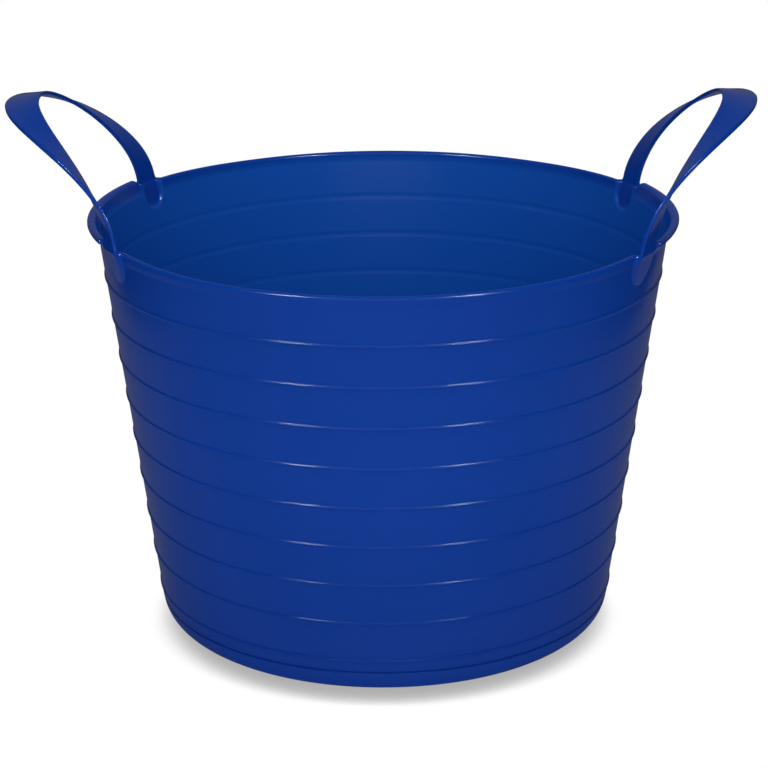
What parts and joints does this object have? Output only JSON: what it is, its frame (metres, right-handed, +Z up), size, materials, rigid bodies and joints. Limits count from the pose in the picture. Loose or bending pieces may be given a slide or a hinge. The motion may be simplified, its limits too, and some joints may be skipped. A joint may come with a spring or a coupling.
{
  "type": "flexible bucket",
  "caption": "Flexible moulded bucket with a tapered hooped wall, rounded rim and springy strap handles, for carrying feed, water or garden waste.",
  "frame": {"origin": "centre of the flat underside, on the ground", "axes": "+Z up along the tub's axis, +X through the middle of the right handle, -X through the left one"},
  "size_m": [0.4526, 0.35, 0.3331],
  "materials": {
    "blue_plastic": "satin gloss"
  },
  "bodies": {
    "tub": {"floor": "blue_plastic", "heel": "blue_plastic", "wall": "blue_plastic", "rib_1": "blue_plastic", "rib_2": "blue_plastic", "rib_3": "blue_plastic", "rib_4": "blue_plastic", "rib_5": "blue_plastic", "rib_6": "blue_plastic", "rib_7": "blue_plastic", "rib_8": "blue_plastic", "rib_9": "blue_plastic", "rim_front": "blue_plastic", "rim_back": "blue_plastic", "lip_left": "blue_plastic", "lip_right": "blue_plastic", "left_front_root": "blue_plastic", "left_back_root": "blue_plastic", "right_front_root": "blue_plastic", "right_back_root": "blue_plastic"},
    "left_handle": {"left_front_leg": "blue_plastic", "left_grip": "blue_plastic", "left_back_leg": "blue_plastic"},
    "right_handle": {"right_front_leg": "blue_plastic", "right_grip": "blue_plastic", "right_back_leg": "blue_plastic"}
  },
  "joints": [
    {"name": "left_handle_flex", "type": "hinge", "parent": "tub", "child": "left_handle", "pos_m": [-0.16102, 0, 0.276], "axis": [0, 1, 0], "range_deg": [-40, 70], "stiffness_Nm_per_rad": 0.3},
    {"name": "right_handle_flex", "type": "hinge", "parent": "tub", "child": "right_handle", "pos_m": [0.16102, 0, 0.276], "axis": [0, -1, 0], "range_deg": [-40, 70], "stiffness_Nm_per_rad": 0.3}
  ]
}
